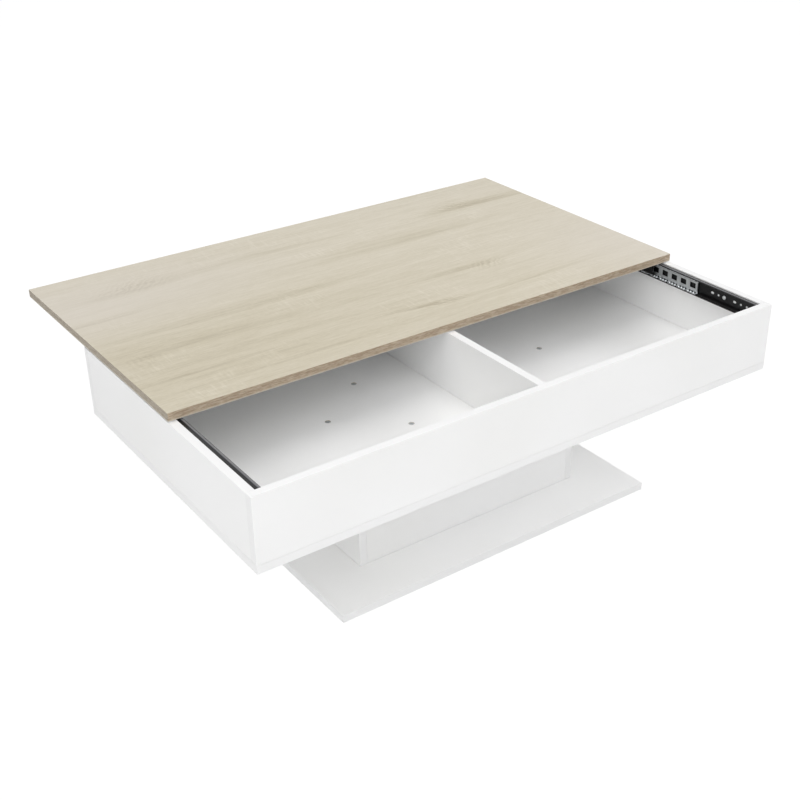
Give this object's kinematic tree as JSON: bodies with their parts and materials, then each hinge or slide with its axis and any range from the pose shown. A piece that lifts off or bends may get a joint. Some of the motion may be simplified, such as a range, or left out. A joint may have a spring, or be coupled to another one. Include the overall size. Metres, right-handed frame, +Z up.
{
  "type": "sliding top coffee table",
  "caption": "Low coffee table with an oak-look top that slides back on ball slides to open a divided white storage box, on a hollow plinth and a wide base board.",
  "frame": {"origin": "centre of the base board's underside, on the floor", "axes": "+X along the table, +Y towards the side the top opens to, +Z up"},
  "size_m": [1.1, 0.863, 0.4],
  "materials": {
    "white_board": "white melamine",
    "oak_decor_board": "pale oak decor",
    "black_steel": "black coat",
    "zinc_steel": "zinc plated",
    "beech_dowel": "plain"
  },
  "bodies": {
    "carcass": {"back_panel": "white_board", "base_board": "white_board", "base_screw_1": "zinc_steel", "base_screw_2": "zinc_steel", "base_screw_3": "zinc_steel", "base_screw_4": "zinc_steel", "base_screw_5": "zinc_steel", "base_screw_6": "zinc_steel", "bottom_panel": "white_board", "corner_dowel_1": "beech_dowel", "corner_dowel_2": "beech_dowel", "corner_dowel_3": "beech_dowel", "corner_dowel_4": "beech_dowel", "divider": "white_board", "front_panel": "white_board", "left_side": "white_board", "left_slide_outer": "black_steel", "left_slide_screw_1": "zinc_steel", "left_slide_screw_2": "zinc_steel", "left_slide_screw_3": "zinc_steel", "plinth_back": "white_board", "plinth_front": "white_board", "plinth_left": "white_board", "plinth_right": "white_board", "plinth_screw_1": "zinc_steel", "plinth_screw_2": "zinc_steel", "plinth_screw_3": "zinc_steel", "plinth_screw_4": "zinc_steel", "plinth_screw_5": "zinc_steel", "plinth_screw_6": "zinc_steel", "right_side": "white_board", "right_slide_outer": "black_steel", "right_slide_screw_1": "zinc_steel", "right_slide_screw_2": "zinc_steel", "right_slide_screw_3": "zinc_steel", "wall_screw_1": "zinc_steel", "wall_screw_2": "zinc_steel", "wall_screw_3": "zinc_steel", "wall_screw_4": "zinc_steel", "wall_screw_5": "zinc_steel", "wall_screw_6": "zinc_steel", "wall_screw_7": "zinc_steel", "wall_screw_8": "zinc_steel"},
    "sliding_top": {"left_batten": "white_board", "left_batten_screw_1": "zinc_steel", "left_batten_screw_2": "zinc_steel", "left_inner_screw_1": "zinc_steel", "left_inner_screw_2": "zinc_steel", "left_slide_inner": "black_steel", "right_batten": "white_board", "right_batten_screw_1": "zinc_steel", "right_batten_screw_2": "zinc_steel", "right_inner_screw_1": "zinc_steel", "right_inner_screw_2": "zinc_steel", "right_slide_inner": "black_steel", "table_top": "oak_decor_board"},
    "left_cage": {"left_ball_cage": "zinc_steel"},
    "right_cage": {"right_ball_cage": "zinc_steel"}
  },
  "joints": [
    {"name": "top_slide", "type": "slide", "parent": "carcass", "child": "sliding_top", "axis": [0, 1, 0], "range_m": [-0.263, 0]},
    {"name": "left_cage_slide", "type": "slide", "parent": "carcass", "child": "left_cage", "axis": [0, 1, 0], "range_m": [-0.1315, 0]},
    {"name": "right_cage_slide", "type": "slide", "parent": "carcass", "child": "right_cage", "axis": [0, 1, 0], "range_m": [-0.1315, 0]}
  ],
  "couplings": [
    {"joint": "left_cage_slide", "follows": "top_slide", "ratio": 0.5},
    {"joint": "right_cage_slide", "follows": "top_slide", "ratio": 0.5}
  ]
}
